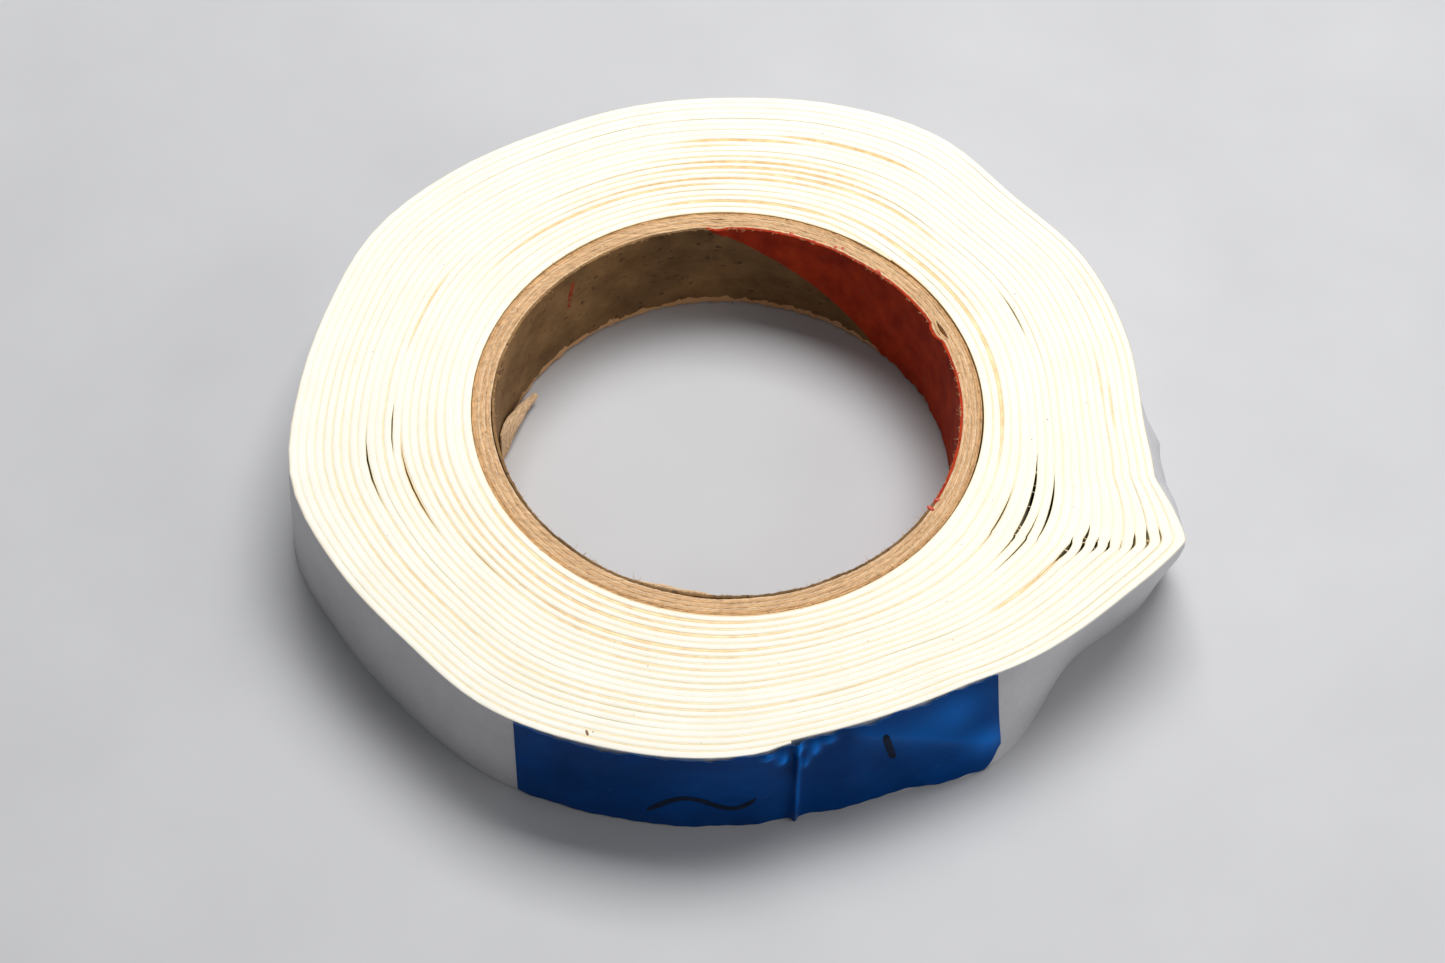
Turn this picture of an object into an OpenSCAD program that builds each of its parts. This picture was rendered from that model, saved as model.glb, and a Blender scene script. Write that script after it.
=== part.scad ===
// Roll of double-sided foam mounting tape on a paper core.
//
// The tape is one long strip of four layers: adhesive, foam, adhesive and, outermost, its
// paper release liner. It is wound anticlockwise, seen from above, on a core of eight
// paper plies, and the roll has been squashed out of round: its turns share a sharp
// crease on one side. A short length of blue film holds the tail down.
//
// The bore's axis is Z, and the roll lies flat on z = 0. Bearings are anticlockwise from +X.

/* [Core] */
// Radius of the bore: a 3 inch core
bore_r = 38.1; // [30:0.1:42]
// Thickness of one of the eight paper plies
ply_t = 0.45; // [0.3:0.01:0.5]
// Length of the core, a little less than the tape's width
core_len = 19.6; // [15:0.1:50]

/* [Tape] */
// Width of the tape
tape_w = 20; // [15:0.5:50]
// Thickness of the foam
foam_t = 1; // [0.6:0.05:1.1]
// Thickness of each coat of adhesive
adhesive_t = 0.06; // [0.04:0.01:0.1]
// Thickness of the paper release liner
liner_t = 0.1; // [0.06:0.01:0.15]
// Whole turns of tape, before the last part of a turn
whole_turns = 20; // [4:1:22]
// Bearing at which the strip starts on the core
start_bearing = 50; // [40:1:60]
// Bearing at which the strip ends, on the outside of the roll
end_bearing = 280; // [270:1:290]

/* [Loose tail] */
// Bearing where the tail of the tape starts to lift from the roll
lift_bearing = 228; // [215:1:232]
// Bearing where the liner starts to peel from the tail
peel_bearing = 240; // [236:1:242]

/* [Closing film] */
// Bearing of the film's stuck-down end
film_start_bearing = 244; // [243:1:250]
// Bearing of the film's free end, past the end of the tape
film_end_bearing = 310; // [300:1:330]
// Width of the film
film_w = 19.4; // [14:0.1:49]
// Thickness of the film
film_t = 0.08; // [0.04:0.01:0.1]
// Thickness of the film's adhesive
film_adhesive_t = 0.04; // [0.02:0.01:0.06]

/* [Crease] */
// Bearing of the crease that all the turns share
crease_bearing = -18.5; // [-25:0.5:-10]
// How far the crease stands out of the outline's smooth part
crease_h = 7; // [0:0.5:9]
// How far the crease reaches clockwise, in degrees
crease_reach_cw = 35; // [20:1:45]
// How far the crease reaches anticlockwise, in degrees
crease_reach_ccw = 8; // [6:1:20]

/* [Hidden] */

// Smooth part of the squashed outline: its radius every 15 degrees, from bearing 0
OUTLINE = [69, 69.5, 70, 69, 72, 71.5, 70, 69.5, 69, 70, 71, 70,
           70.5, 72, 70, 68.5, 69.5, 68.5, 67.5, 65.5, 65.5, 67.5, 69, 72];

core_r = bore_r + 8 * ply_t;
wind_r = core_r + 0.15;                 // the first turn lies just clear of the core
air = 0.08;                             // between one turn and the next
slit = 0.1;                             // between two bodies, along the tape
steps = 48;                             // stations per turn
riser = 0.06;                           // part of a turn in which the tape climbs its own start
round_turns = 6;                        // after which that climb has spread all round

tape_t = 2 * adhesive_t + foam_t + liner_t;
turns = whole_turns + (end_bearing - start_bearing) / 360;
lift_turn = whole_turns + (lift_bearing - start_bearing) / 360;
peel_turn = whole_turns + (peel_bearing - start_bearing) / 360;
film_turn = whole_turns + (film_start_bearing - start_bearing) / 360;
tab_end_turn = whole_turns - 1 + (film_end_bearing - start_bearing) / 360;

// Depths in the tape, from its inner face
foam_d = adhesive_t;
coat_d = foam_d + foam_t;
liner_d = coat_d + adhesive_t;
film_d = tape_t + air;
film_top_d = film_d + film_adhesive_t;

function clamped(x) = min(max(x, 0), 1);
function turn_from(a, b) = (((a - b + 540) % 360) + 360) % 360 - 180;

// Catmull-Rom curve through four values, at s from 0 to 1 between the middle two
function smooth_through(a, b, c, d, s) =
    b + s * ((c - a) + s * ((2 * a - 5 * b + 4 * c - d) + s * (3 * b - a - 3 * c + d))) / 2;

function outline_r(bearing) =
    let (n = len(OUTLINE),
         x = (((bearing % 360) + 360) % 360) * n / 360,
         i = floor(x))
    smooth_through(OUTLINE[(i + n - 1) % n], OUTLINE[i % n],
                   OUTLINE[(i + 1) % n], OUTLINE[(i + 2) % n], x - i);

// The crease's flanks, hardly rounded
function crease_r(bearing) =
    let (d = turn_from(bearing, crease_bearing),
         reach = d < 0 ? crease_reach_cw : crease_reach_ccw)
    crease_h * pow(max(0, 1 - abs(d) / reach), 1.2);

function bearing_of(turn) = start_bearing + 360 * turn;

// How much of the roll's wall one turn takes up at a bearing
function turn_share(turn) =
    (outline_r(bearing_of(turn)) + crease_r(bearing_of(turn)) - wind_r) / (turns + 1);

// Turns of tape below a point of the strip: near the core they climb in one short riser,
// over the strip's own start, and further out evenly
function turns_below(turn) =
    let (stepped = floor(turn) + clamped((turn - floor(turn) - 1 + riser) / riser))
    stepped + min(1, turn / round_turns) * (turn - stepped);

function inner_r(turn) = wind_r + turn_share(turn) * turns_below(turn);

// The layers are squeezed where the turns lie closer than the tape is thick
function squeeze(turn) =
    min(1, (turn_share(turn) * (turns_below(turn + 1) - turns_below(turn)) - air) / tape_t);

function strip_r(turn, depth) =
    inner_r(turn) + squeeze(turn) * min(depth, tape_t) + max(0, depth - tape_t);

function strip_point(turn, depth) =
    strip_r(turn, depth) * [cos(bearing_of(turn)), sin(bearing_of(turn))];

// Every turn has its stations at the same bearings, one of them on the crease
function stations(from, to) =
    let (first = (crease_bearing - start_bearing) / 360,
         low = ceil((from - first) * steps + 0.1),
         high = floor((to - first) * steps - 0.1))
    concat([from], [for (k = [low:high]) first + k / steps], [to]);

// A layer of the strip from one turn count to another, between two depths
module layer(from, to, inner_d, outer_d, width = tape_w) {
    at = stations(from, to);
    last = len(at) - 1;
    linear_extrude(width)
        polygon(concat(
            [for (t = at) strip_point(t, inner_d)],
            [for (i = [last:-1:0]) strip_point(at[i], outer_d)]));
}

// A length of tape or film that starts just past a joint: the slit as a part of a turn
function past(turn) = turn + slit / (2 * PI * strip_r(turn, tape_t));

module ply(number) {
    inner = bore_r + number * ply_t;
    difference() {
        cylinder(h = core_len, r = inner + ply_t, $fn = 180);
        translate([0, 0, -1])
            cylinder(h = core_len + 2, r = inner, $fn = 180);
    }
}

module core_liner_ply() color([0.55, 0.42, 0.3]) ply(0);
module core_ply(i) color(i % 2 == 0 ? [0.72, 0.6, 0.46] : [0.64, 0.52, 0.39]) ply(i);
module core_outer_ply() color([0.76, 0.56, 0.36]) ply(7);

module tape_adhesive_inner() color([0.87, 0.68, 0.42]) layer(0, lift_turn, 0, foam_d);
module tape_foam() color([0.97, 0.96, 0.9]) layer(0, lift_turn, foam_d, coat_d);
module tape_adhesive_outer() color([0.87, 0.68, 0.42]) layer(0, lift_turn, coat_d, liner_d);
module tape_liner() color([0.8, 0.8, 0.82]) layer(0, lift_turn, liner_d, tape_t);

module tail_adhesive_inner() color([0.87, 0.68, 0.42]) layer(past(lift_turn), turns, 0, foam_d);
module tail_foam() color([0.97, 0.96, 0.9]) layer(past(lift_turn), turns, foam_d, coat_d);
module tail_adhesive_outer()
    color([0.87, 0.68, 0.42]) layer(past(lift_turn), turns, coat_d, liner_d);
module tail_liner() color([0.8, 0.8, 0.82]) layer(past(lift_turn), peel_turn, liner_d, tape_t);
module liner_flap() color([0.8, 0.8, 0.82]) layer(past(peel_turn), turns, liner_d, tape_t);

// The film lies on the tail, and past its end on the turn below
module film(from, to, inner_d, outer_d) {
    translate([0, 0, (tape_w - film_w) / 2])
        layer(from, to, inner_d, outer_d, film_w);
}

module closing_film_adhesive() color([0.7, 0.78, 0.82]) film(film_turn, turns, film_d, film_top_d);
module closing_film() color([0.02, 0.3, 0.58]) film(film_turn, turns, film_top_d, film_top_d + film_t);
module film_tab_adhesive()
    color([0.7, 0.78, 0.82]) film(past(turns) - 1, tab_end_turn, film_d, film_top_d);
module film_tab()
    color([0.02, 0.3, 0.58]) film(past(turns) - 1, tab_end_turn, film_top_d, film_top_d + film_t);

core_liner_ply();
for (i = [1:6]) core_ply(i);
core_outer_ply();
tape_adhesive_inner();
tape_foam();
tape_adhesive_outer();
tape_liner();
tail_adhesive_inner();
tail_foam();
tail_adhesive_outer();
tail_liner();
liner_flap();
closing_film();
closing_film_adhesive();
film_tab();
film_tab_adhesive();
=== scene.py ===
"""Roll of double-sided foam mounting tape on a paper core, with a blue closing film.

Lengths are in millimetres while a piece is shaped, and metres once it is in its place.
Bearings are in degrees, anticlockwise from +X. A place along the tape is a turn count from
the strip's start on the core.
"""
import math

import bmesh
import bpy
import numpy as np
from mathutils import Matrix, Vector


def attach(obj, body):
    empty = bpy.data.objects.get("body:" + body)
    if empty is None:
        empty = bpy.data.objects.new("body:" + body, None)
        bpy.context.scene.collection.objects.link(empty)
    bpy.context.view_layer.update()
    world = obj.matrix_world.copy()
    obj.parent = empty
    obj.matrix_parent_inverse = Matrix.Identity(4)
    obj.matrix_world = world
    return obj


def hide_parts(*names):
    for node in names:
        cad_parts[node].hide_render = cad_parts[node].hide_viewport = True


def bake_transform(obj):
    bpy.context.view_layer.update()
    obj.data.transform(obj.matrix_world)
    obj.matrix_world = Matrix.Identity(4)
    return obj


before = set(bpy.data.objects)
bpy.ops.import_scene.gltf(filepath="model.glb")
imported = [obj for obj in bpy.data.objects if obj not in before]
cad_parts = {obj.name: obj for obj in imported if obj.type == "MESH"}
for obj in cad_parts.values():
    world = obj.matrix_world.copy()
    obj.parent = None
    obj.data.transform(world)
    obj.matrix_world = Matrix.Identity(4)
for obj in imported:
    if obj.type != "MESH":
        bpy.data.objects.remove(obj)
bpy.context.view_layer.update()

MM = 0.001

# ---------------------------------------------------------------- the roll's own sizes
BORE_R = 38.1
PLY_T = 0.45
PLIES = 8
CORE_LEN = 19.6
CORE_R = BORE_R + PLIES * PLY_T
WIND_R = CORE_R + 0.1
TAPE_W = 20.0
LINER_T = 0.06

START = 50.0
END = 280.0
TURNS = 20 + (END - START) / 360
RISER = 0.05                    # part of a turn in which the tape's squashed start grows thick
ROUND_TURNS = 6                 # after which the climb over it has spread all round

PEEL_BEARING = 240.0
ROOT_BEARING = 205.0            # where the tail's own pieces take over from the wound ones

FILM_START = 244.0
FILM_END = 310.0
FILM_T = 0.08
FILM_COAT_T = 0.04

# Smooth part of the squashed outline: its radius every 15 degrees, from bearing 0
OUTLINE = (69, 69.5, 70, 69, 72, 71.5, 70, 69.5, 69, 70, 71, 70,
           70.5, 72, 70, 68.5, 69.5, 68.5, 67.5, 65.5, 65.5, 67.5, 69, 72)
CREASE_BEARING = -17.9
CREASE_H = 7.0
CREASE_REACH = (35.0, 8.0)      # clockwise, anticlockwise


def turn_at(bearing, lap=20):
    """Turn count of a bearing, in a lap counted from the strip's start."""
    return lap + (bearing - START) / 360


def bearing_of(turn):
    return START + 360 * np.asarray(turn, float)


def round_bearing(turn):
    """Bearing of a place on the strip, from 0 to 360."""
    return bearing_of(turn) % 360


def turned(a, b):
    """Angle from bearing b to bearing a, the short way round."""
    return (a - b + 180) % 360 - 180


def smoothstep(x):
    x = np.clip(x, 0, 1)
    return x * x * (3 - 2 * x)


def bell(x, at, width):
    return np.exp(-(((x - at) / width) ** 2))


class Ripple:
    """Smooth noise along a line: random heights at even spacing, joined by eased curves."""

    def __init__(self, seed, spacing, count=4096):
        self.heights = np.random.RandomState(seed).uniform(-1, 1, count)
        self.spacing = spacing

    def __call__(self, x):
        s = np.asarray(x, float) / self.spacing + 64
        i = np.floor(s).astype(int)
        t = smoothstep(s - i)
        n = len(self.heights)
        return self.heights[i % n] * (1 - t) + self.heights[(i + 1) % n] * t


# ---------------------------------------------------------------- how the tape is wound
def outline_r(bearing):
    n = len(OUTLINE)
    x = (bearing % 360) * n / 360
    i = np.floor(x).astype(int)
    s = x - i
    o = np.array(OUTLINE, float)
    a, b, c, d = o[(i - 1) % n], o[i % n], o[(i + 1) % n], o[(i + 2) % n]
    return b + s * ((c - a) + s * ((2 * a - 5 * b + 4 * c - d) + s * (3 * b - a - 3 * c + d))) / 2


def crease_r(bearing, depth, low):
    """The crease stands out of the outline; it is sharp outside and dies away inwards.

    depth is 0 at the core and 1 outside; low is 0 at the roll's top and 1 at its foot."""
    at = CREASE_BEARING - 15.6 * (1 - depth) + 8 * low * depth
    d = turned(bearing, at)
    soft = 0.5 + 9 * (1 - depth) ** 2
    away = np.sqrt(d * d + soft * soft) - 0.6 * soft
    reach = np.where(d < 0, CREASE_REACH[0], CREASE_REACH[1] + 10 * (1 - depth))
    height = CREASE_H * (1 - 0.5 * low * depth)
    return height * np.maximum(0, 1 - away / reach) ** 1.2


# The wall leans: bearing, spread in degrees, how far the foot stands out past the top
LEANS = ((-73, 9, 2.3), (-53, 11, 5.0), (-31, 9, -2.5), (4, 9, 1.2), (-165, 14, 1.2), (-135, 12, 1.0))


def lean(bearing):
    return sum(h * bell(turned(bearing, at), 0, w) for at, w, h in LEANS)


# Places where two turns stand apart: turns from the start, bearing, half width in degrees, mm
OPENINGS = (
    (6, -21.5, 14, 0.62), (8, -20.5, 9, 0.42), (4, -26, 9, 0.3), (7, -29, 9, 0.28),
    (11, -26.8, 3.4, 0.7), (11, -33, 7, 0.1), (12, -23.8, 3.6, 0.55), (13, -23.9, 1.7, 0.5),
    (14, -23.2, 1.4, 0.45), (15, -22.4, 1.0, 0.15), (16, -21.2, 1.8, 0.5), (17, -20.0, 1.9, 0.6),
    (18, -18.9, 1.4, 0.35), (7, 24, 7, 0.25), (12, 196, 8, 0.35), (9, 188, 5, 0.3),
    (8, 202, 12, 0.3), (6, 222, 9, 0.15))


def opening_turn(lap, at):
    return lap + ((at - START) % 360) / 360


def openings_at(turn, seam):
    """How far the openings push one side of a seam: out above them, in below them."""
    push = np.zeros_like(turn)
    for lap, at, half, size in OPENINGS:
        shape = np.clip(1 - (turned(bearing_of(turn), at) / half) ** 2, 0, 1) ** 2
        middle = opening_turn(lap, at)
        side = np.where(turn > middle - 0.5, 0.5, -0.5)
        push = push + side * size * shape * np.exp(-np.abs(np.round(seam - middle)) / 1.5)
    return push


def turns_below(turn):
    """Turns of tape between the core and a point of the strip.

    Near the core a turn climbs over the strip's squashed start, and further out it climbs evenly."""
    whole = np.floor(turn)
    stepped = np.maximum(whole - 1 + np.clip((turn - whole) / RISER, 0, 1), 0)
    return stepped + np.clip(turn / ROUND_TURNS, 0, 1) * (turn - stepped)


def seam_r(turn, seam, z):
    """Radius of one side of the seam under a place on the strip, called seam.

    turn is the place on the strip that this side belongs to, and z is the height."""
    bearing = bearing_of(turn)
    below = turns_below(seam)
    depth = np.clip(below / (TURNS + 1), 0, 1)
    low = 1 - np.clip(z / TAPE_W, 0, 1)
    wall = outline_r(bearing) + crease_r(bearing, depth, low) + lean(bearing) * low * depth
    return WIND_R + (wall - WIND_R) * below / (TURNS + 1) + openings_at(turn, seam)


def inner_r(turn, z):
    return seam_r(turn, turn, z)


def outer_r(turn, z):
    """The tape is squashed thin where the film crosses over its end."""
    full = seam_r(turn, turn + 1, z)
    squash = 0.62 * smoothstep((turn - TURNS) * 360 / 4.5 + 1) * (turn < TURNS + 0.001)
    return full - squash * (full - inner_r(turn, z))


# ---------------------------------------------------------------- the seams between turns
seam_ripple = Ripple(11, 0.055)
seam_arcs = Ripple(12, 0.17)

# Seams that show most: turns below them, the bearings they run between, and how plainly
ARCS = ((3, -20, 74, 0.95), (2, 60, 112, 0.95), (1, 30, 80, 0.3), (5, 84, 156, 0.7),
        (6, 60, 130, 0.45), (7, 38, 95, 0.8), (8, 52, 108, 0.6), (9, 58, 104, 0.65),
        (10, 58, 115, 0.45), (12, 88, 104, 0.6), (13, 76, 102, 0.85), (14, 56, 86, 0.95),
        (4, 20, 60, 0.35), (9, 148, 172, 0.6), (8, 186, 214, 0.45), (1, 200, 330, 0.25),
        (11, -46, -26, 0.8), (5, 112, 134, 0.9), (17, -4, 8, 0.35), (16, 2, 12, 0.3))


def arcs_at(turn):
    """How plainly the picked-out arcs show in the seam under a place on the strip."""
    total = np.zeros_like(turn)
    for below, start, stop, plain in ARCS:
        middle, half = (start + stop) / 2, (stop - start) / 2
        at = opening_turn(below, middle % 360)
        if middle % 360 < START:
            at -= 1
        total = np.maximum(total, plain * smoothstep(1.6 * (1 - np.abs(turn - at) * 360 / half)))
    return total


def seam_strength(turn):
    """How plainly the amber seam under a place on the strip shows, from 0 to 1."""
    turn = np.asarray(turn, float)
    bearing = round_bearing(turn)
    out = np.clip(turns_below(turn) / (TURNS + 1), 0, 1)
    front = 0.5 * bell(turned(bearing, 258), 0, 50) * (1 - 0.7 * smoothstep((out - 0.66) / 0.3))
    back = 0.28 * bell(turned(bearing, 92), 0, 46) * (1 - smoothstep((out - 0.4) / 0.3))
    left = 0.16 * bell(turned(bearing, 205), 0, 30)
    right = 0.14 * bell(turned(bearing, -2), 0, 34)
    patches = 0.72 + 0.6 * seam_arcs(turn) + 0.3 * seam_ripple(turn)
    return np.clip((0.08 + front + back + left + right) * patches + arcs_at(turn), 0.02, 1)


def seam_w(turn):
    """Width of the seam under a place on the strip."""
    return 0.07 + 0.4 * seam_strength(turn)


weave = Ripple(21, 0.09)
fine_weave = Ripple(22, 0.012)


def edge_shift(turn):
    """How far the strip's edges wander up or down in the roll."""
    return 0.045 * weave(turn) + 0.018 * fine_weave(turn)


# ---------------------------------------------------------------- mesh helpers
def new_object(name, bm):
    mesh = bpy.data.meshes.new(name)
    bm.to_mesh(mesh)
    bm.free()
    obj = bpy.data.objects.new(name, mesh)
    bpy.context.scene.collection.objects.link(obj)
    return obj


def new_object_in_mm(name, bm):
    """A piece whose mesh was made in mm, brought to metres."""
    for v in bm.verts:
        v.co = v.co * MM
    return new_object(name, bm)


def points_of(obj):
    co = np.zeros(len(obj.data.vertices) * 3)
    obj.data.vertices.foreach_get("co", co)
    return co.reshape(-1, 3)


def set_points(obj, co):
    """Moves a piece's vertices to their final places, given in mm, and turns its faces out."""
    obj.data.vertices.foreach_set("co", (np.asarray(co) * MM).astype(np.float32).ravel())
    bm = bmesh.new()
    bm.from_mesh(obj.data)
    bmesh.ops.recalc_face_normals(bm, faces=bm.faces)
    bm.to_mesh(obj.data)
    bm.free()


def polar(r, bearing, z):
    angle = np.radians(bearing)
    return np.stack([r * np.cos(angle), r * np.sin(angle), z + 0 * r], 1)


def set_attribute(obj, name, values):
    layer = obj.data.attributes.new(name, "FLOAT", "POINT")
    layer.data.foreach_set("value", np.asarray(values, np.float32))


def shade_smooth(obj, angle):
    for face in obj.data.polygons:
        face.use_smooth = True
    obj.data.set_sharp_from_angle(angle=math.radians(angle))


def bar_mesh(steps, rounding=0.0, cuts=0, cuts_across=0):
    """A straight closed bar along X: depth 0 to 1 in Y, height 0 to the tape's width in Z.

    Its section is a rectangle, with rounded corners if rounding is given. X counts stations."""
    bm = bmesh.new()
    bmesh.ops.create_cube(bm, size=1)
    for v in bm.verts:
        v.co = Vector(((v.co.x + 0.5) * steps, v.co.y + 0.5, (v.co.z + 0.5) * TAPE_W))

    def edges_along(axis, least):
        """Edges that run along an axis for more than a least length."""
        return [e for e in bm.edges if abs(e.verts[0].co[axis] - e.verts[1].co[axis]) > least]

    if rounding:
        bmesh.ops.bevel(bm, geom=edges_along(0, 0.5), offset=rounding, offset_type="OFFSET",
                        segments=3, profile=0.5, affect="EDGES", material=-1)
    if cuts_across:
        bmesh.ops.subdivide_edges(bm, edges=edges_along(1, 0.3), cuts=cuts_across)
    if cuts:
        bmesh.ops.subdivide_edges(bm, edges=edges_along(2, 2), cuts=cuts, use_grid_fill=True)
    bmesh.ops.subdivide_edges(bm, edges=edges_along(0, 0.5), cuts=steps - 1, use_grid_fill=True)
    return bm


def stations(start, stop, per_turn=160):
    """Turn counts along the strip, closest together at the crease."""
    first = (CREASE_BEARING - 3 - START) / 360
    low, high = math.floor(start - first) - 1, math.ceil(stop - first) + 1
    x = np.arange(low * per_turn, high * per_turn + 1) / per_turn
    turn = first + x - 0.74 * np.sin(2 * math.pi * x) / (2 * math.pi)
    inside = turn[(turn > start + 1e-4) & (turn < stop - 1e-4)]
    return np.concatenate([[start], inside, [stop]])


def wound(name, turns, place, rounding=0.0, cuts=0, cuts_across=0, edge=None):
    """A bar wound into the roll. place gives radius and height from turn, depth and height."""
    obj = new_object(name, bar_mesh(len(turns) - 1, rounding, cuts, cuts_across))
    co = points_of(obj)
    turn = np.interp(co[:, 0], np.arange(len(turns)), turns)
    depth = co[:, 1]
    r, z = place(turn, depth, co[:, 2])
    set_points(obj, polar(r, bearing_of(turn), np.maximum(z, 0.02)))
    if edge:
        set_attribute(obj, "seam", edge(turn, depth))
    return obj


# ---------------------------------------------------------------- the tape's four layers
def foam_place(turn, depth, z):
    inside = inner_r(turn, z) + seam_w(turn) / 2
    outside = outer_r(turn, z) - seam_w(turn + 1) / 2 - 0.04 * (turn > TURNS - 1)
    outside = np.maximum(outside, inside + 0.05)
    strength = np.where(depth < 0.5, seam_strength(turn), seam_strength(turn + 1))
    top = z > TAPE_W / 2
    drop = np.where(top, TAPE_W - z, z)
    drop = np.where(drop < 0.5, drop * (0.1 + 0.55 * strength), drop)
    crown = 0.03 * (2 * np.abs(depth - 0.5)) ** 2
    drop = np.where(drop < 0.5, drop + crown, drop)
    z = np.where(top, TAPE_W - drop, drop) + edge_shift(turn)
    return inside + (outside - inside) * depth, z


def foam_tint(turn, depth):
    """How strongly the amber of a seam tints the foam beside it."""
    low = seam_strength(turn) * np.clip(1 - depth / 0.42, 0, 1)
    high = seam_strength(turn + 1) * np.clip(1 - (1 - depth) / 0.42, 0, 1)
    return low + high


def recessed(z, recess):
    """Height in a layer whose edges lie a little inside the foam's."""
    return recess + z * (1 - 2 * recess / TAPE_W)


def seam_recess(strength):
    """How deep the adhesive lies below the foam's edge."""
    return 0.015 + 0.05 * strength


def inner_coat_place(turn, depth, z):
    z = recessed(z, seam_recess(seam_strength(turn))) + edge_shift(turn)
    return inner_r(turn, z) + seam_w(turn) / 2 * depth, z


def outer_coat_place(turn, depth, z):
    z = recessed(z, seam_recess(seam_strength(turn + 1))) + edge_shift(turn)
    outside = outer_r(turn, z) - 0.03 * (turn > TURNS - 1)
    inside = outside - seam_w(turn + 1) / 2
    return inside + (outside - LINER_T - inside) * depth, z


def coat_tint(turn, depth):
    return seam_strength(turn)


def outer_coat_tint(turn, depth):
    return seam_strength(turn + 1)


wall_long = Ripple(31, 0.045)
wall_short = Ripple(32, 0.017)


BULGE = 2.6                     # how far the loose liner stands off, mm
BULGE_ENDS = (-20, 3.6)         # bearings


def bulge(bearing, z):
    """The liner has come away from the foam beside the crease, below the top edge."""
    low, high = BULGE_ENDS
    around = turned(bearing, 0)
    along = smoothstep((high - around) / 3.4) * smoothstep((around - low) / 12)
    upright = smoothstep((TAPE_W - z) / 5.5) * (0.25 + 0.75 * smoothstep(z / 9))
    folds = 1 + 0.1 * np.sin(around * 0.5 + z * 0.4) + 0.22 * bell(bearing % 360, 359, 2.2)
    return BULGE * along * upright * folds


def wall_dents(turn, z):
    """Shallow dents and the bulge in the roll's outer wall."""
    across = np.sin(z * 0.31 + 3 * wall_long(turn))
    shallow = 0.08 * (1 + wall_long(turn) * across) + 0.04 * (1 + wall_short(turn + 0.02 * across))
    return shallow * smoothstep((TAPE_W - z) / 2) + bulge(bearing_of(turn), z)


def liner_place(turn, depth, z):
    buried = turn < TURNS - 1
    recess = np.where(buried, 0.01 + seam_recess(seam_strength(turn + 1)), 0.05)
    z = recessed(z, recess) + edge_shift(turn)
    dent = np.where(buried, 0, wall_dents(turn, z))
    return outer_r(turn, z) - LINER_T * (1 - depth) + dent, z


def liner_tint(turn, depth):
    """1 where the liner lies between turns, and only its amber-stained edge is seen."""
    return (turn < TURNS - 1) * 1.0


ROOT = turn_at(ROOT_BEARING)
PEEL_CUT = turn_at(PEEL_BEARING - 4)
body = stations(0, ROOT)
tail = stations(ROOT, TURNS, 240)
root = stations(ROOT, PEEL_CUT, 240)
flap = stations(PEEL_CUT, TURNS, 240)

foam = wound("wound_foam", body, foam_place, rounding=0.2, cuts=2, cuts_across=2, edge=foam_tint)
foam_tail = wound("foam_tail", tail, foam_place, rounding=0.2, cuts=2, cuts_across=2, edge=foam_tint)
inner_coat = wound("wound_inner_adhesive", body, inner_coat_place, cuts=2, edge=coat_tint)
inner_coat_tail = wound("inner_adhesive_tail", tail, inner_coat_place, cuts=2, edge=coat_tint)
outer_coat = wound("wound_outer_adhesive", body, outer_coat_place, cuts=3, edge=outer_coat_tint)
outer_coat_tail = wound("outer_adhesive_tail", tail, outer_coat_place, cuts=3,
                        edge=outer_coat_tint)
liner = wound("wound_liner", body, liner_place, cuts=7, edge=liner_tint)
liner_root = wound("liner_root", root, liner_place, cuts=7, edge=liner_tint)
liner_flap = wound("liner_pull_end", flap, liner_place, cuts=7, edge=liner_tint)


# ---------------------------------------------------------------- the blue closing film
FIN_BEARING = END + 0.8


def film_edge(bearing, z):
    """Height of a point of the film, whose edges are a little wavy and one corner cut."""
    wave = 0.16 * np.sin(bearing * 0.9) + 0.12 * np.sin(bearing * 2.3 + 1)
    top = TAPE_W - 0.1 + wave - 0.4 * bell(bearing, 255, 5) - 0.3 * bell(bearing, 269, 3)
    low = 0.35 - 0.6 * wave + 3.4 * smoothstep((bearing - FILM_END + 3.2) / 3.2)
    return low + (top - low) * z / TAPE_W


# Puckers at the head of the fin: degrees from the fin, height, half width, half height, mm
PUCKERS = ((2.4, 17.4, 0.8, 1.5, 0.85), (-2.0, 17.2, 0.8, 1.4, 0.8), (1.2, 14.6, 0.6, 1.2, 0.5),
           (4.4, 18.6, 1.0, 0.9, 0.55), (-3.9, 18.8, 1.0, 0.8, 0.6), (0.3, 19.0, 0.7, 0.8, 0.6))


def film_puckers(bearing, z):
    return sum(size * bell(bearing, FIN_BEARING + at, width) * bell(z, height, tall)
               for at, height, width, tall, size in PUCKERS)


def film_diagonal(bearing, z):
    """A soft fold that runs down across the free half, from 0 to 1."""
    off = (bearing - 289) * 0.62 + (z - 18.5)
    return np.exp(-np.abs(off) / 2.2) * smoothstep((bearing - 287) / 4)


def film_folds(bearing, z):
    """The pinched fin over the tape's end, and the soft wrinkles of the free half."""
    fin = 1.0 * bell(bearing, FIN_BEARING, 0.42) * (0.8 + 0.2 * np.sin(z * 0.5))
    fin = fin * (1 - 0.6 * smoothstep((z - 17.5) / 2.5))
    gather = film_puckers(bearing, z)
    fold = 0.55 * film_diagonal(bearing, z)
    soft = 0.12 * np.sin(bearing * 0.8 + z * 0.35) * smoothstep((bearing - 283) / 4)
    shallow = 0.07 * np.sin(bearing * 0.55 + 1.3 * np.sin(z * 0.3))
    return fin + gather + fold + soft + shallow + 0.12


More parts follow.
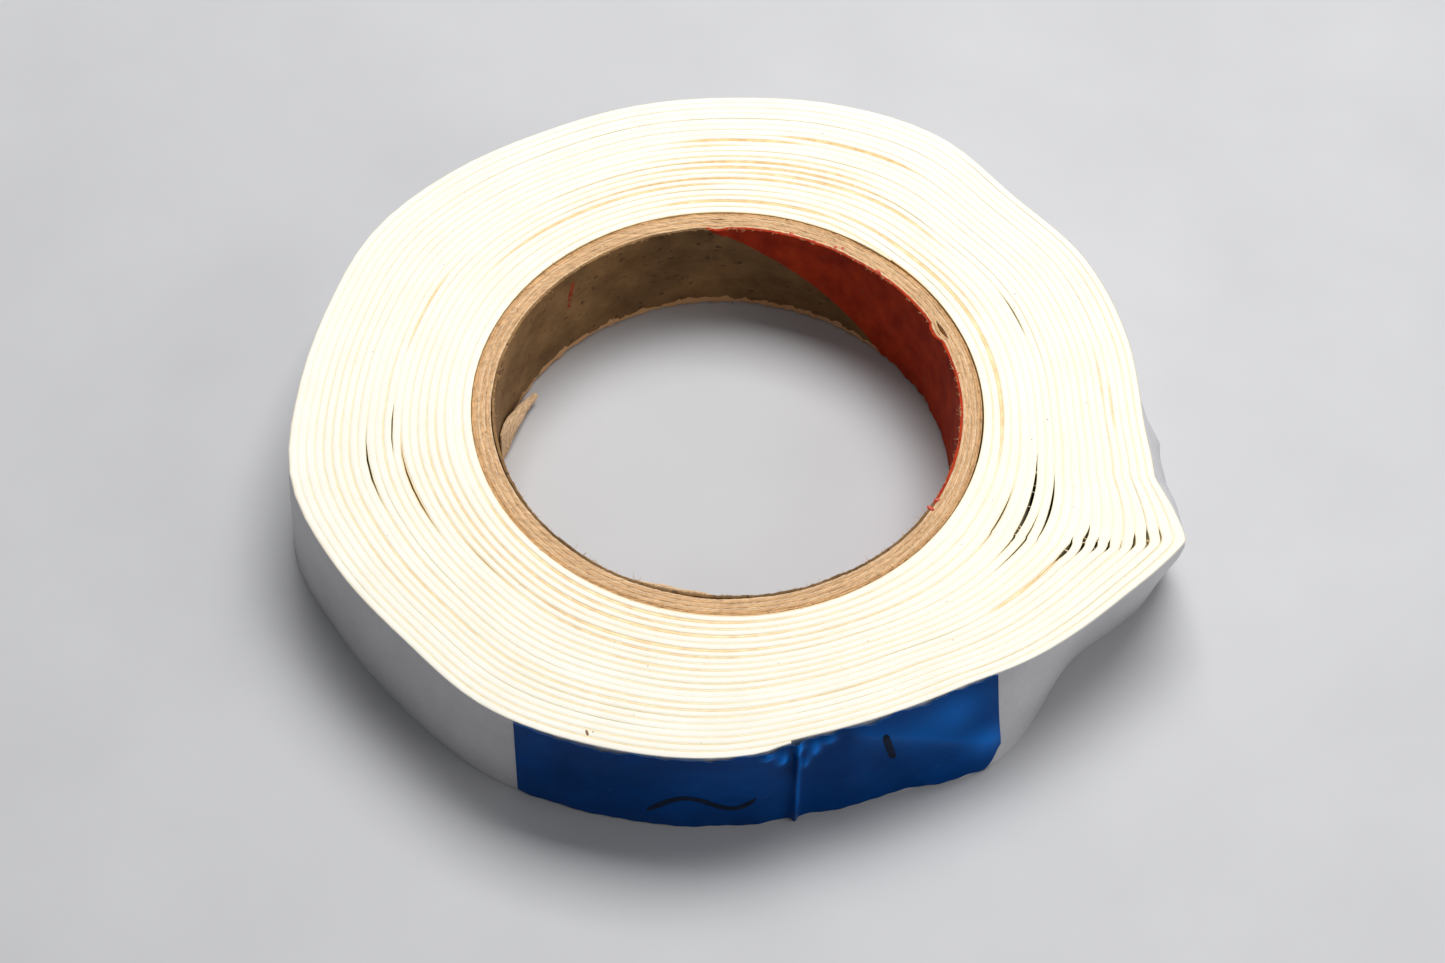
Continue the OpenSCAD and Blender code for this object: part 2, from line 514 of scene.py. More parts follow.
def film_r(turn, z):
    """Inner radius of the film: over the tape's end it comes down a pitch to the turn below."""
    bearing = round_bearing(turn)
    step = smoothstep((turn - TURNS - 0.001) * 360 / 3.2)
    on_tape = outer_r(np.minimum(turn, TURNS), z)
    below = outer_r(turn - 1, z)
    stick = smoothstep((bearing - FILM_START) / 2) * smoothstep((FILM_END + 1 - bearing) / 3)
    return on_tape * (1 - step) + below * step + film_folds(bearing, z) * stick + 0.16


def film_place(turn, depth, z):
    bearing = round_bearing(turn)
    z = film_edge(bearing, z)
    return film_r(turn, z) + FILM_COAT_T + FILM_T * depth, z


def film_coat_place(turn, depth, z):
    bearing = round_bearing(turn)
    z = film_edge(bearing, recessed(z, 0.1))
    return film_r(turn, z) + FILM_COAT_T * depth, z


def film_stations():
    """Places along the film, closest together on the fin."""
    fin = turn_at(FIN_BEARING)
    start, stop = turn_at(FILM_START), turn_at(FILM_END)
    coarse = np.arange(start, stop, 0.3 / 360)
    fine = fin + np.arange(-2, 2, 0.06) / 360
    coarse = coarse[np.abs(coarse - fin) > 2.1 / 360]
    return np.sort(np.concatenate([coarse, fine, [stop]]))


film = wound("blue_film", film_stations(), film_place, cuts=30)
film_coat = wound("blue_film_adhesive", film_stations(), film_coat_place, cuts=30)


# Painted highlights near the film's free end, where its blue is made paler: bearing, height, half width,
# half height, how pale
PAINTED_HIGHLIGHT_PATCHES = ((303, 15.5, 5.5, 4, 0.5), (308, 7, 3, 3, 0.4))


def film_painted_highlight(obj):
    """Painted highlight on the film, as a paler blue: on the puckers, the fin's ridge, the diagonal fold
    and the free end.
    """
    x, y, z = (points_of(obj) / MM).T
    bearing = np.degrees(np.arctan2(y, x)) % 360
    # Painted highlight along the fin's ridge line
    ridge_highlight = 0.45 * bell(bearing, FIN_BEARING + 0.35, 0.3) * smoothstep((z - 1) / 5)
    patch = sum(pale * bell(bearing, at, width) * bell(z, height, tall)
                for at, height, width, tall, pale in PAINTED_HIGHLIGHT_PATCHES)
    return np.clip(1.3 * film_puckers(bearing, z) + ridge_highlight + patch + 0.35 * film_diagonal(bearing, z), 0, 1)


# Painted highlight, carried to the film's material as a point attribute
set_attribute(film, "painted_highlight", film_painted_highlight(film))


def stroke(name, path, steps, half_w):
    """A marker stroke on the film. path gives bearing and height from 0 to 1 along it."""
    obj = new_object(name, bar_mesh(steps, 0, 6))
    co = points_of(obj)
    s, depth = co[:, 0] / steps, co[:, 1]
    bearing, z = path(s)
    ahead = path(s + 1e-3)
    scale = math.radians(1) * 68
    run, rise = (ahead[0] - bearing) * scale, ahead[1] - z
    length = np.hypot(run, rise)
    across = (co[:, 2] / TAPE_W - 0.5) * 2 * half_w * np.sqrt(np.clip(1 - (2 * s - 1) ** 10, 0.05, 1))
    bearing = bearing - across * rise / length / scale
    z = z + across * run / length
    turn = turn_at(bearing)
    r = film_r(turn, z) + FILM_COAT_T + FILM_T - 0.02 + 0.05 * depth
    set_points(obj, polar(r, bearing, z))
    return obj


def wave_path(s):
    return 261.5 + 14.0 * s, 5.0 + 3.2 * np.sin(5.6 * s - 0.2) + 5.5 * s ** 2


def dash_path(s):
    return 293.0 + 1.6 * s, 16.6 - 7.4 * s


wave_mark = stroke("marker_wave", wave_path, 90, 0.62)
dash_mark = stroke("marker_dash", dash_path, 70, 0.6)

# ---------------------------------------------------------------- the paper core
rag_fine = Ripple(41, 1.1)
rag_long = Ripple(42, 7.0)
rag_foot = Ripple(43, 2.3)
waist = Ripple(44, 24.0)

# Gaps between plies: the ply outside the gap, bearing, half width in degrees, mm
PLY_GAPS = ((3, 26, 3.2, 1.0), (5, 94, 2.4, 0.7), (1, 196, 22, 0.22), (1, -93, 11, 0.28),
            (2, -60, 9, 0.12), (4, 230, 12, 0.1))


def ply_gap(number, bearing, z):
    """How far a ply is pushed in or out near a gap at the rim."""
    push = np.zeros_like(bearing)
    for outer_ply, at, half, size in PLY_GAPS:
        shape = np.clip(1 - (turned(bearing, at) / half) ** 2, 0, 1) * smoothstep((z - 14) / 5)
        push = push + shape * size * np.where(number >= outer_ply, 0.35, -0.65)
    return push


def ply_place(number, bearing, depth, z):
    rim = smoothstep((z - 15) / 4)
    r = BORE_R + (number + depth) * PLY_T
    r = r + ply_gap(number, bearing, z) * (1 - number / PLIES) + 0.06 * waist(bearing + 3 * z)
    r = r - 0.05 * rim * rag_fine(bearing + 90 * number) * (number == 0)
    rag = 0.05 * rag_fine(bearing + 400 * number) + 0.07 * rag_fine(bearing * 2.3) + 0.1 * rag_long(bearing)
    dip = 0.05 * (number % 2) - 0.2
    foot = 0.0
    if number == 0:
        foot = 0.7 * np.abs(rag_foot(bearing)) + 0.35 * np.abs(rag_fine(bearing * 1.4))
        foot = foot + 0.6 * np.maximum(0, rag_long(bearing * 1.3))
    high = smoothstep((z - 10) / 9)
    low = smoothstep((8 - z) / 8)
    return r, z + high * (rag - dip) + low * (foot + 0.05)


def ply_ring(name, number, steps, cuts):
    """One ply of the core: a bar bent round the bore and joined end to end."""
    bm = bar_mesh(steps, 0.0, cuts, 2)
    ends = [f for f in bm.faces if len({round(v.co.x, 3) for v in f.verts}) == 1]
    bmesh.ops.delete(bm, geom=ends, context="FACES_ONLY")
    obj = new_object(name, bm)
    co = points_of(obj)
    bearing = co[:, 0] / steps * 360 - 90
    edge = np.abs(co[:, 1] - 0.5) * 2
    z = co[:, 2] * CORE_LEN / TAPE_W
    r, z = ply_place(number, bearing, co[:, 1], z)
    z = z - 0.05 * edge ** 4 * (z > CORE_LEN / 2)
    obj.data.vertices.foreach_set("co", polar(r, bearing, z).astype(np.float32).ravel())
    bm = bmesh.new()
    bm.from_mesh(obj.data)
    seam = [v for v in bm.verts if abs(v.co.x) < 0.05 and v.co.y < 0]
    bmesh.ops.remove_doubles(bm, verts=seam, dist=0.002)
    bm.to_mesh(obj.data)
    bm.free()
    set_points(obj, points_of(obj))
    return obj


liner_ply = ply_ring("bore_ply", 0, 900, 10)
plies = [ply_ring(f"kraft_ply_{i}", i, 540, 1) for i in range(1, 7)]
outer_ply = ply_ring("tape_side_ply", 7, 540, 3)


def paper_scrap(name, along, across, thickness, place):
    """A thin scrap of paper. place gives radius, bearing and height from two shares of its size."""
    bm = bmesh.new()
    bmesh.ops.create_grid(bm, x_segments=along, y_segments=across, size=0.5)
    for v in bm.verts:
        r, bearing, z = place(v.co.x + 0.5, v.co.y + 0.5)
        a = math.radians(bearing)
        v.co = Vector((r * math.cos(a), r * math.sin(a), z)) * MM
    bmesh.ops.recalc_face_normals(bm, faces=bm.faces)
    bmesh.ops.solidify(bm, geom=bm.faces[:], thickness=thickness * MM)
    bmesh.ops.recalc_face_normals(bm, faces=bm.faces)
    return new_object(name, bm)


flap_jag = Ripple(51, 0.06)
sliver_jag = Ripple(55, 0.09)


def torn_flap_place(s, t):
    """A torn corner of the bore's ply at the foot, its point curling in from the wall."""
    high = 1.9 + 6.0 * (1 - s) ** 1.15 + 0.35 * float(flap_jag(s))
    low = 0.1 + 1.5 * s ** 1.4 + 0.2 * float(flap_jag(s + 7))
    inward = 0.3 + 1.5 * s ** 2.2 + 0.9 * math.sin(math.pi * t) * math.sin(math.pi * s)
    inward = inward + 0.7 * (1 - t) * smoothstep(4 * s)
    return BORE_R - inward, 178.5 - 22.5 * s, low + (high - low) * t


def lifted_sliver_place(s, t):
    """A sliver of the bore's ply that stands off the inner rim."""
    taper = math.sin(math.pi * s) ** 0.6
    r = BORE_R + 0.1 - (0.75 + 0.15 * float(sliver_jag(s))) * taper * t
    return r, -112 + 22 * s, CORE_LEN - 0.1 + 0.42 * taper * math.sin(2.2 * t)


FIBRES = 900


def fuzz():
    """Paper fibres standing out of the core's cut edges."""
    pick = np.random.RandomState(61)
    bm = bmesh.new()
    for _ in range(FIBRES):
        bearing = pick.uniform(0, 360)
        inner = pick.uniform() < 0.62
        low = inner and pick.uniform() < 0.3
        r = BORE_R + (0.12 if inner else PLIES * PLY_T - 0.2 * pick.uniform())
        z = (0.35 if low else CORE_LEN + 0.2) - 0.1
        length = pick.uniform(0.25, 1.1) * (1.5 if pick.uniform() < 0.1 else 1)
        lean_in = pick.uniform(-1.1, 0.1) if inner else pick.uniform(-0.5, 0.2)
        rise = pick.uniform(-0.05, 0.3) if low else pick.uniform(0.05, 0.45)
        direction = Vector((lean_in, pick.uniform(-1.2, 1.2), rise)).normalized()
        turn = Matrix.Rotation(math.radians(bearing), 4, "Z")
        aim = direction.to_track_quat("Z", "X").to_matrix().to_4x4()
        at = Matrix.Translation(Vector((r, 0, z)) + direction * length * 0.45)
        bmesh.ops.create_cone(bm, segments=4, radius1=0.05, radius2=0.015, depth=length,
                              cap_ends=True, matrix=turn @ at @ aim)
    return new_object_in_mm("core_fibres", bm)


flap_of_paper = paper_scrap("torn_bore_flap", 26, 12, 0.2, torn_flap_place)
sliver = paper_scrap("lifted_bore_sliver", 30, 5, 0.12, lifted_sliver_place)
fibres = fuzz()


# ---------------------------------------------------------------- small marks on the foam
def threads():
    """Strings of adhesive across the widest openings between turns."""
    pick = np.random.RandomState(71)
    bm = bmesh.new()
    for lap, at, half, size in OPENINGS:
        if size < 0.5:
            continue
        for _ in range(int(2 + half * 0.6)):
            bearing = at + half * pick.uniform(-0.7, 0.7)
            turn = np.array([opening_turn(lap, bearing)])
            z = 19.75 - 1.6 * pick.uniform() ** 2
            r_in = float(outer_r(turn - 1, np.array([z]))[0]) - 0.12
            r_out = float(inner_r(turn, np.array([z]))[0]) + 0.12
            angle = math.radians(bearing)
            a = Vector((r_in * math.cos(angle), r_in * math.sin(angle), z))
            angle = math.radians(bearing + pick.uniform(-0.4, 0.4))
            b = Vector((r_out * math.cos(angle), r_out * math.sin(angle), z + pick.uniform(-0.2, 0.1)))
            aim = (b - a).to_track_quat("Z", "X").to_matrix().to_4x4()
            thick = pick.uniform(0.05, 0.11)
            bmesh.ops.create_cone(bm, segments=7, radius1=thick, radius2=thick * 0.8, cap_ends=True,
                                  depth=(b - a).length, matrix=Matrix.Translation((a + b) / 2) @ aim)
    return new_object_in_mm("adhesive_threads", bm)


def crumbs(name, seed, count, sizes, extra=(), height=TAPE_W):
    """Specks lying on the roll's top: a few placed ones, and the rest scattered."""
    pick = np.random.RandomState(seed)
    bm = bmesh.new()
    places = list(extra)
    for _ in range(count):
        places.append((pick.uniform(43, 64), pick.uniform(0, 360), pick.uniform(*sizes)))
    for r, bearing, size in places:
        angle = math.radians(bearing)
        at = Matrix.Translation((r * math.cos(angle), r * math.sin(angle), height - 0.02))
        squash = Matrix.Diagonal((size, size * pick.uniform(0.4, 0.9), size * 0.25, 1))
        spin = Matrix.Rotation(pick.uniform(0, 3), 4, "Z")
        bmesh.ops.create_icosphere(bm, subdivisions=2, radius=1, matrix=at @ spin @ squash)
    return new_object_in_mm(name, bm)


strings = threads()
brown_crumbs = crumbs("brown_specks", 81, 26, (0.05, 0.13),
                      extra=((66.7, 253.2, 0.55), (66.3, 253.9, 0.2), (54.2, 28, 0.2)))
amber_crumbs = crumbs("adhesive_beads", 82, 60, (0.06, 0.2))
red_flecks = crumbs("red_print_flecks", 83, 0, (0.1, 0.2), height=CORE_LEN + 0.18,
                    extra=((38.6, 75, 0.62), (38.9, 63, 0.55), (39.3, 61.5, 0.4), (38.6, 50, 0.6),
                           (38.5, 69, 0.35), (38.5, -28, 0.5), (38.4, -31, 0.7), (38.7, 12, 0.3)))


for piece in (foam, inner_coat, outer_coat, liner, strings, brown_crumbs, amber_crumbs,
              red_flecks, liner_ply, outer_ply, flap_of_paper, sliver, fibres, *plies):
    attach(piece, "roll")
for piece in (foam_tail, inner_coat_tail, outer_coat_tail, liner_root):
    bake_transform(piece)
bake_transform(liner_flap)
for piece in (film, film_coat):
    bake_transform(piece)
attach(wave_mark, "liner")
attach(dash_mark, "tab")

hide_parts("tape_foam")
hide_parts("tail_foam")
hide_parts("tape_adhesive_inner")
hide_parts("tail_adhesive_inner")
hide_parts("tape_adhesive_outer")
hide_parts("tail_adhesive_outer")
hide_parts("tape_liner")
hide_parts("tail_liner")
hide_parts("liner_flap")
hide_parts("closing_film", "film_tab")
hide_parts("closing_film_adhesive", "film_tab_adhesive")
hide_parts("core_liner_ply")
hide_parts("core_outer_ply")
for number, piece in enumerate(plies, 1):
    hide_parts(f"core_ply_{number}")


# ---------------------------------------------------------------- material helpers
class Nodes:
    """A material's node tree, with the few node patterns that the roll's materials share."""

    def __init__(self, name, roughness=0.6, specular=0.5):
        self.mat = bpy.data.materials.new(name)
        self.mat.use_nodes = True
        self.tree = self.mat.node_tree
        self.shader = self.tree.nodes["Principled BSDF"]
        self.set("Roughness", roughness)
        self.set("Specular IOR Level", specular)

    def set(self, socket, value):
        if isinstance(value, bpy.types.NodeSocket):
            self.tree.links.new(value, self.shader.inputs[socket])
        else:
            self.shader.inputs[socket].default_value = value

    def add(self, kind):
        return self.tree.nodes.new(kind)

    def feed(self, socket, value):
        if isinstance(value, bpy.types.NodeSocket):
            self.tree.links.new(value, socket)
        elif isinstance(value, tuple) and len(value) == 3 and len(socket.default_value) == 4:
            socket.default_value = (*value, 1)
        else:
            socket.default_value = value

    def attribute(self, name):
        node = self.add("ShaderNodeAttribute")
        node.attribute_name = name
        return node.outputs["Fac"]

    def coords(self, scale=(1, 1, 1)):
        mapping = self.add("ShaderNodeMapping")
        mapping.inputs["Scale"].default_value = scale
        self.feed(mapping.inputs["Vector"], self.add("ShaderNodeTexCoord").outputs["Object"])
        return mapping.outputs["Vector"]

    def xyz(self):
        split = self.add("ShaderNodeSeparateXYZ")
        self.feed(split.inputs[0], self.add("ShaderNodeTexCoord").outputs["Object"])
        return split.outputs

    def math(self, how, a, b=0.0, c=None, clamp=False):
        node = self.add("ShaderNodeMath")
        node.operation = how
        node.use_clamp = clamp
        self.feed(node.inputs[0], a)
        self.feed(node.inputs[1], b)
        if c is not None:
            self.feed(node.inputs[2], c)
        return node.outputs[0]

    def around(self, radial, along, upright):
        """Coordinates that change fast with radius and slowly along the turns."""
        x, y, z = self.xyz()
        r = self.math("SQRT", self.math("ADD", self.math("MULTIPLY", x, x), self.math("MULTIPLY", y, y)))
        joined = self.add("ShaderNodeCombineXYZ")
        self.feed(joined.inputs[0], self.math("MULTIPLY_ADD", r, radial, self.math("MULTIPLY", x, along)))
        self.feed(joined.inputs[1], self.math("MULTIPLY", y, along))
        self.feed(joined.inputs[2], self.math("MULTIPLY", z, upright))
        return joined.outputs[0]

    def noise(self, vector, scale, detail=3.0, rough=0.55):
        tex = self.add("ShaderNodeTexNoise")
        tex.inputs["Scale"].default_value = scale
        tex.inputs["Detail"].default_value = detail
        tex.inputs["Roughness"].default_value = rough
        self.feed(tex.inputs["Vector"], vector)
        return tex.outputs["Fac"]

    def cells(self, vector, scale):
        tex = self.add("ShaderNodeTexVoronoi")
        tex.inputs["Scale"].default_value = scale
        self.feed(tex.inputs["Vector"], vector)
        return tex.outputs["Distance"]

    def ramp(self, value, *stops):
        node = self.add("ShaderNodeValToRGB")
        elements = node.color_ramp.elements
        while len(elements) < len(stops):
            elements.new(0.5)
        for element, (place, colour) in zip(elements, stops):
            element.position = place
            element.color = (*colour, 1) if isinstance(colour, tuple) else (colour, colour, colour, 1)
        self.feed(node.inputs["Fac"], value)
        return node.outputs["Color"]

    def mix(self, factor, a, b, how="MIX"):
        node = self.add("ShaderNodeMix")
        node.data_type = "RGBA"
        node.blend_type = how
        self.feed(node.inputs["Factor"], factor)
        self.feed(node.inputs[6], a)
        self.feed(node.inputs[7], b)
        return node.outputs[2]

    def bump(self, height, strength, distance):
        node = self.add("ShaderNodeBump")
        node.inputs["Strength"].default_value = strength
        node.inputs["Distance"].default_value = distance
        self.feed(node.inputs["Height"], height)
        self.set("Normal", node.outputs["Normal"])


# ---------------------------------------------------------------- the roll's materials
def foam_material():
    m = Nodes("white_cell_foam", roughness=0.9, specular=0.2)
    at = m.coords()
    tone = m.ramp(m.noise(at, 140, 4), (0.3, (0.9, 0.865, 0.755)), (0.7, (0.93, 0.905, 0.825)))
    patch = m.ramp(m.noise(at, 500, 3), (0.35, 0.35), (0.65, 1.0))
    amount = m.math("MULTIPLY", m.math("MULTIPLY", m.attribute("seam"), patch), 0.8, clamp=True)
    colour = m.mix(amount, tone, (0.9, 0.745, 0.4))
    specks = m.ramp(m.noise(at, 1100, 2), (0.74, 0.0), (0.78, 1.0))
    colour = m.mix(m.math("MULTIPLY", specks, 0.5), colour, (0.66, 0.45, 0.22))
    m.set("Base Color", colour)
    m.bump(m.cells(at, 4200), 0.3, 0.00008)
    return m.mat


def adhesive_material():
    """Pale where a seam hardly shows, and amber where it is thick."""
    m = Nodes("amber_adhesive", roughness=0.35)
    at = m.coords()
    amber = m.ramp(m.noise(at, 420, 4), (0.3, (0.66, 0.36, 0.1)), (0.5, (0.86, 0.55, 0.2)),
                   (0.72, (0.93, 0.73, 0.38)))
    pale = m.ramp(m.noise(at, 700, 3), (0.35, (0.9, 0.77, 0.43)), (0.65, (0.93, 0.86, 0.6)))
    plain = m.ramp(m.attribute("seam"), (0.1, 0.0), (0.65, 1.0))
    m.set("Base Color", m.mix(plain, pale, amber))
    m.bump(m.noise(at, 2500, 2), 0.4, 0.00005)
    return m.mat


def thread_material():
    m = Nodes("pale_adhesive_thread", roughness=0.4)
    m.set("Base Color", m.ramp(m.noise(m.coords(), 1500, 2), (0.35, (0.72, 0.45, 0.2)),
                               (0.6, (0.9, 0.82, 0.66))))
    return m.mat


def liner_material():
    m = Nodes("coated_liner_paper", roughness=0.4)
    at = m.coords((1, 1, 0.25))
    fibres = m.noise(at, 2600, 4, 0.65)
    cloud = m.noise(m.coords(), 90, 5)
    tone = m.ramp(cloud, (0.3, (0.52, 0.515, 0.535)), (0.7, (0.62, 0.615, 0.63)))
    tone = m.mix(0.16, tone, m.ramp(fibres, (0.3, 0.45), (0.7, 1.0)), "MULTIPLY")
    scuffs = m.ramp(m.noise(m.coords((1, 1, 3)), 240, 5, 0.7), (0.62, 0.0), (0.75, 1.0))
    tone = m.mix(m.math("MULTIPLY", scuffs, 0.25), tone, (0.4, 0.39, 0.38))
    z = m.xyz()[2]
    off_middle = m.math("ABSOLUTE", m.math("SUBTRACT", z, TAPE_W / 2 * MM))
    at_edge = m.math("GREATER_THAN", off_middle, (TAPE_W / 2 - 0.4) * MM)
    stained = m.math("MULTIPLY", m.attribute("seam"), at_edge)
    m.set("Base Color", m.mix(stained, tone, (0.9, 0.8, 0.5)))
    m.set("Roughness", m.ramp(cloud, (0.3, 0.34), (0.7, 0.5)))
    m.bump(fibres, 0.12, 0.00004)
    return m.mat


def film_material():
    m = Nodes("glossy_blue_film", roughness=0.16, specular=0.04)
    at = m.coords()
    cloud = m.noise(at, 70, 4)
    tone = m.ramp(cloud, (0.3, (0.0, 0.027, 0.125)), (0.7, (0.0, 0.055, 0.25)))
    # Painted highlight: the film's blue is mixed towards a light blue on its puckers, fin ridge, diagonal
    # fold and free end
    m.set("Base Color", m.mix(m.attribute("painted_highlight"), tone, (0.01, 0.19, 0.72)))
    m.set("Roughness", m.ramp(m.noise(at, 300, 4), (0.35, 0.12), (0.7, 0.28)))
    m.bump(m.noise(m.coords((1, 1, 2.5)), 260, 3), 0.18, 0.0003)
    return m.mat


def film_coat_material():
    m = Nodes("clear_film_adhesive", roughness=0.25)
    m.set("Base Color", m.ramp(m.noise(m.coords(), 600, 3), (0.3, (0.02, 0.16, 0.42)),
                               (0.7, (0.05, 0.22, 0.5))))
    return m.mat


def marker_material():
    m = Nodes("marker_ink", roughness=0.35, specular=0.06)
    m.set("Base Color", m.ramp(m.noise(m.coords(), 900, 3), (0.3, (0.002, 0.006, 0.018)),
                               (0.7, (0.004, 0.016, 0.045))))
    return m.mat


def kraft_material(name, light, dark):
    """Grey-brown board: streaks that follow the turns on a cut edge, fibres and flecks."""
    m = Nodes(name, roughness=0.85, specular=0.25)
    streaks = m.noise(m.around(9000, 260, 1500), 1.0, 5, 0.65)
    fine = m.noise(m.around(3000, 1200, 2500), 1.0, 5, 0.7)
    tone = m.ramp(streaks, (0.33, dark), (0.66, light))
    tone = m.mix(0.75, tone, m.ramp(fine, (0.3, 0.45), (0.62, 1.0)), "MULTIPLY")
    flecks = m.ramp(m.noise(m.coords(), 1900, 2, 0.7), (0.65, 0.0), (0.72, 1.0))
    tone = m.mix(m.math("MULTIPLY", flecks, 0.6), tone, (0.12, 0.07, 0.04))
    m.set("Base Color", tone)
    m.bump(fine, 0.7, 0.0002)
    return m.mat


# The printed band climbs round the bore: bearing of its edge at the foot, and degrees that the
# edge gains up to the rim. The tick leans the other way, in degrees a metre.
BAND_START = 45.0
BAND_CLIMB = 52.0
BAND_WIDTH = 127.0
TICK_BEARING = 139.6
TICK_LEAN = -250.0


def bore_material():
    """The bore's kraft face, darkened as painted shade, its red printed band, and the same band's red tick.
    """
    m = Nodes("printed_bore_kraft", roughness=0.75, specular=0.18)
    at = m.coords()
    cloud = m.noise(m.coords((1, 1, 1.6)), 130, 5, 0.6)
    # Painted shade: the bore's kraft is given a much darker brown than the rim's kraft boards, for the
    # shade inside the bore
    tone = m.ramp(cloud, (0.3, (0.2, 0.1, 0.034)), (0.7, (0.38, 0.215, 0.085)))
    fibres = m.noise(m.coords((1, 1, 2.2)), 1500, 4, 0.7)
    tone = m.mix(0.35, tone, m.ramp(fibres, (0.3, 0.45), (0.7, 1.0)), "MULTIPLY")
    flecks = m.ramp(m.noise(m.coords((1, 1, 1.8)), 620, 2, 0.6), (0.635, 0.0), (0.7, 1.0))
    tone = m.mix(m.math("MULTIPLY", flecks, 0.8), tone, (0.07, 0.035, 0.02))
    x, y, z = m.xyz()
    stain = m.ramp(m.noise(at, 34, 2), (0.42, 1.0), (0.6, 0.62))
    tone = m.mix(1.0, tone, stain, "MULTIPLY")
    torn = m.math("LESS_THAN", z, m.math("MULTIPLY", m.noise(at, 500, 3), 0.0032))
    tone = m.mix(m.math("MULTIPLY", torn, 0.8), tone, (0.72, 0.42, 0.2))
    angle = m.math("DEGREES", m.math("ARCTAN2", y, x))
    wobble = m.math("MULTIPLY", m.math("SUBTRACT", m.noise(at, 900, 3), 0.5), 1.6)
    edge = m.math("MULTIPLY_ADD", z, BAND_CLIMB / (CORE_LEN * MM), BAND_START)
    inside = m.math("SUBTRACT", m.math("ADD", edge, wobble), angle)
    band = m.math("MULTIPLY", m.math("MULTIPLY", inside, 1.6, clamp=True),
                  m.math("MULTIPLY", m.math("SUBTRACT", BAND_WIDTH, inside), 1.6, clamp=True))
    slant = m.math("SUBTRACT", angle, m.math("MULTIPLY_ADD", z, TICK_LEAN, TICK_BEARING))
    tick = m.math("MULTIPLY", m.math("LESS_THAN", m.math("ABSOLUTE", slant), 0.75),
                  m.math("MULTIPLY", m.math("GREATER_THAN", z, 0.0115), m.math("LESS_THAN", z, 0.0175)))
    tick = m.math("MULTIPLY", tick, m.ramp(m.noise(at, 1400, 2), (0.4, 0.2), (0.55, 0.9)))
    worn = m.ramp(m.noise(at, 700, 5, 0.75), (0.3, 0.75), (0.45, 1.0))
    amount = m.math("MULTIPLY", m.math("MAXIMUM", band, tick), worn)
    red = m.ramp(m.noise(at, 260, 4), (0.3, (0.28, 0.014, 0.001)), (0.7, (0.5, 0.04, 0.004)))
    m.set("Base Color", m.mix(amount, tone, red))
    m.bump(fibres, 0.35, 0.00012)
    return m.mat


def red_fleck_material():
    m = Nodes("red_print_fleck", roughness=0.6)
    m.set("Base Color", m.ramp(m.noise(m.coords(), 2400, 3), (0.35, (0.42, 0.03, 0.012)),
                               (0.65, (0.66, 0.12, 0.06))))
    return m.mat


def speck_material():
    m = Nodes("brown_speck", roughness=0.6)
    m.set("Base Color", m.ramp(m.noise(m.coords(), 2000, 2), (0.3, (0.12, 0.05, 0.015)),
                               (0.7, (0.35, 0.17, 0.06))))
    return m.mat


def dress(pieces, mat, angle=40):
    for piece in pieces:
        piece.data.materials.clear()
        piece.data.materials.append(mat)
        shade_smooth(piece, angle)


amber = adhesive_material()
thread_mat = thread_material()
kraft = kraft_material("kraft_board", (0.97, 0.62, 0.33), (0.52, 0.28, 0.12))
pale_kraft = kraft_material("pale_kraft_board", (1.0, 0.72, 0.45), (0.6, 0.35, 0.17))
brown_kraft = kraft_material("brown_kraft_board", (0.9, 0.55, 0.27), (0.48, 0.25, 0.1))
dress((foam, foam_tail), foam_material(), 60)
dress((inner_coat, inner_coat_tail, outer_coat, outer_coat_tail), amber)
dress((strings, amber_crumbs), thread_mat)
dress((liner, liner_root, liner_flap), liner_material())
dress((film,), film_material(), 60)
dress((film_coat,), film_coat_material())
dress((wave_mark, dash_mark), marker_material())
dress((liner_ply,), bore_material())
dress(plies[::2] + [flap_of_paper, sliver], pale_kraft)
dress((outer_ply,), brown_kraft)
dress((red_flecks,), red_fleck_material())
dress(plies[1::2] + [fibres], kraft)
dress((brown_crumbs,), speck_material())


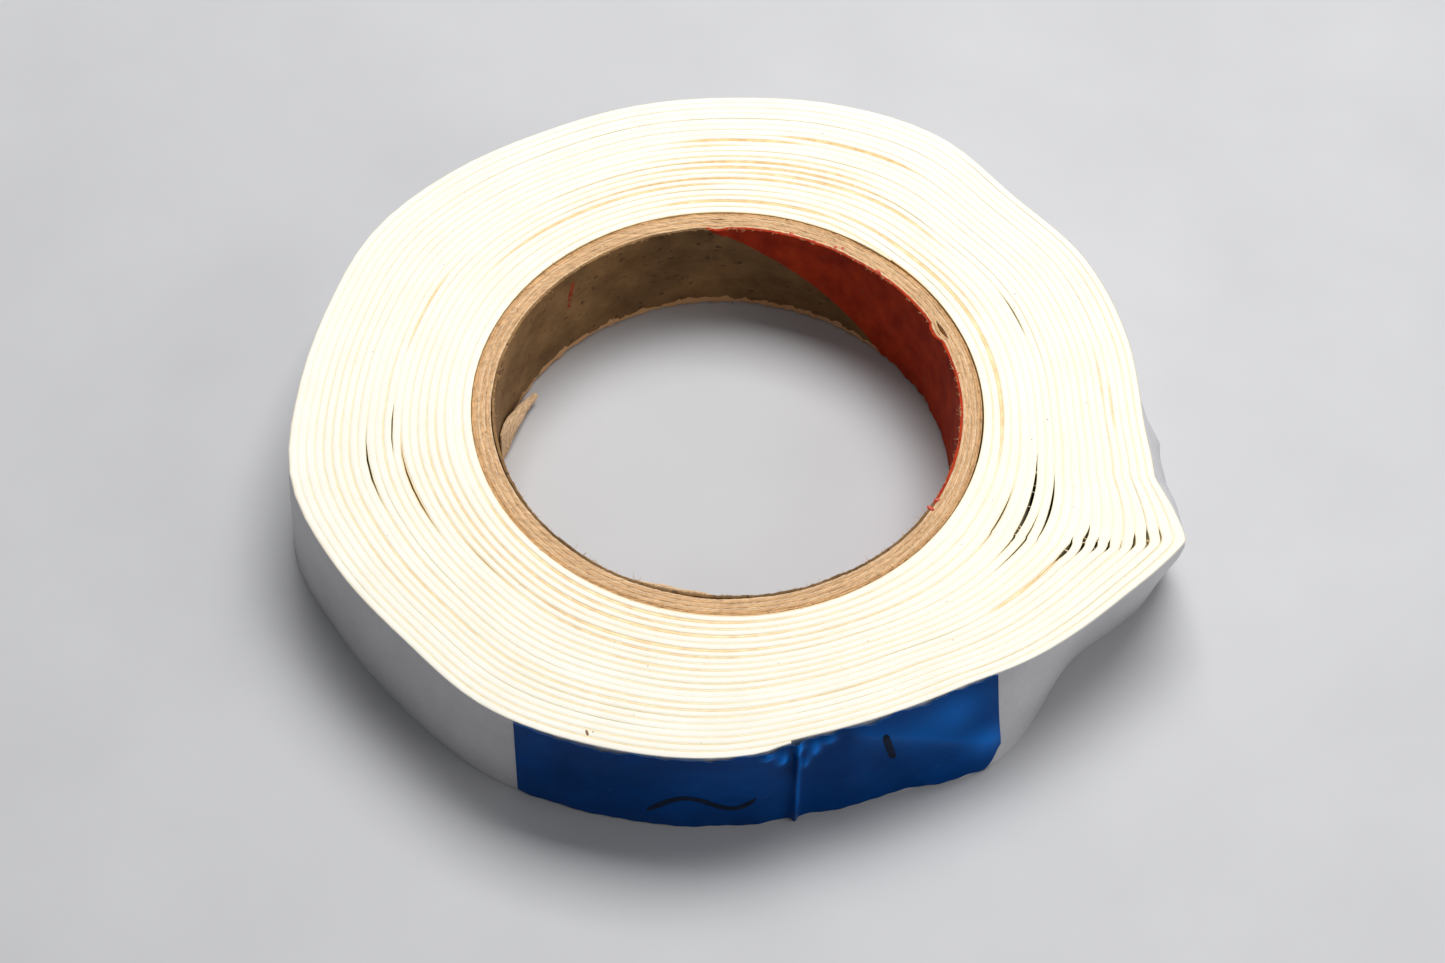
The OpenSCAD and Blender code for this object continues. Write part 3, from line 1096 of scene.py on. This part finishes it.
# ---------------------------------------------------------------- floor, light and camera
def floor():
    bm = bmesh.new()
    bmesh.ops.create_grid(bm, x_segments=8, y_segments=8, size=1.6)
    obj = new_object("floor", bm)
    m = Nodes("pale_floor", roughness=0.55)
    m.set("Base Color", m.ramp(m.noise(m.coords(), 30), (0.3, (0.5, 0.5, 0.51)), (0.7, (0.53, 0.53, 0.54))))
    obj.data.materials.append(m.mat)


def soft_light(name, at, towards, size, power):
    light = bpy.data.lights.new(name, "AREA")
    light.shape = "RECTANGLE"
    light.size, light.size_y = size
    light.energy = power
    obj = bpy.data.objects.new(name, light)
    obj.location = at
    obj.rotation_euler = (Vector(towards) - Vector(at)).to_track_quat("-Z", "Y").to_euler()
    bpy.context.scene.collection.objects.link(obj)


CAMERA_AT = (0, -0.28335, 0.37938)
CAMERA_TURN = (-0.0013, 0.9314, 0.0341)     # to the side, down, and about its own axis, radians
CAMERA_LENS = 69.76


def camera():
    yaw, pitch, roll = CAMERA_TURN
    forward = Vector((math.sin(yaw) * math.cos(pitch), math.cos(yaw) * math.cos(pitch), -math.sin(pitch)))
    right = forward.cross(Vector((0, 0, 1))).normalized()
    up = right.cross(forward)
    across = right * math.cos(roll) + up * math.sin(roll)
    above = up * math.cos(roll) - right * math.sin(roll)
    cam = bpy.data.cameras.new("camera")
    cam.lens = CAMERA_LENS
    cam.sensor_width = 36
    obj = bpy.data.objects.new("camera", cam)
    turn = Matrix((across, above, -forward)).transposed().to_4x4()
    obj.matrix_world = Matrix.Translation(CAMERA_AT) @ turn
    bpy.context.scene.collection.objects.link(obj)
    bpy.context.scene.camera = obj


floor()
soft_light("key_light", (0.12, 0.42, 0.85), (0, 0, 0.01), (0.7, 0.5), 10)
soft_light("right_fill", (0.9, -0.35, 0.5), (0, 0, 0.01), (0.5, 0.5), 2.5)
camera()
world = bpy.data.worlds.new("studio")
world.use_nodes = True
world.node_tree.nodes["Background"].inputs["Color"].default_value = (0.95, 0.97, 1, 1)
world.node_tree.nodes["Background"].inputs["Strength"].default_value = 0.2
bpy.context.scene.world = world
bpy.context.scene.view_settings.view_transform = "Standard"
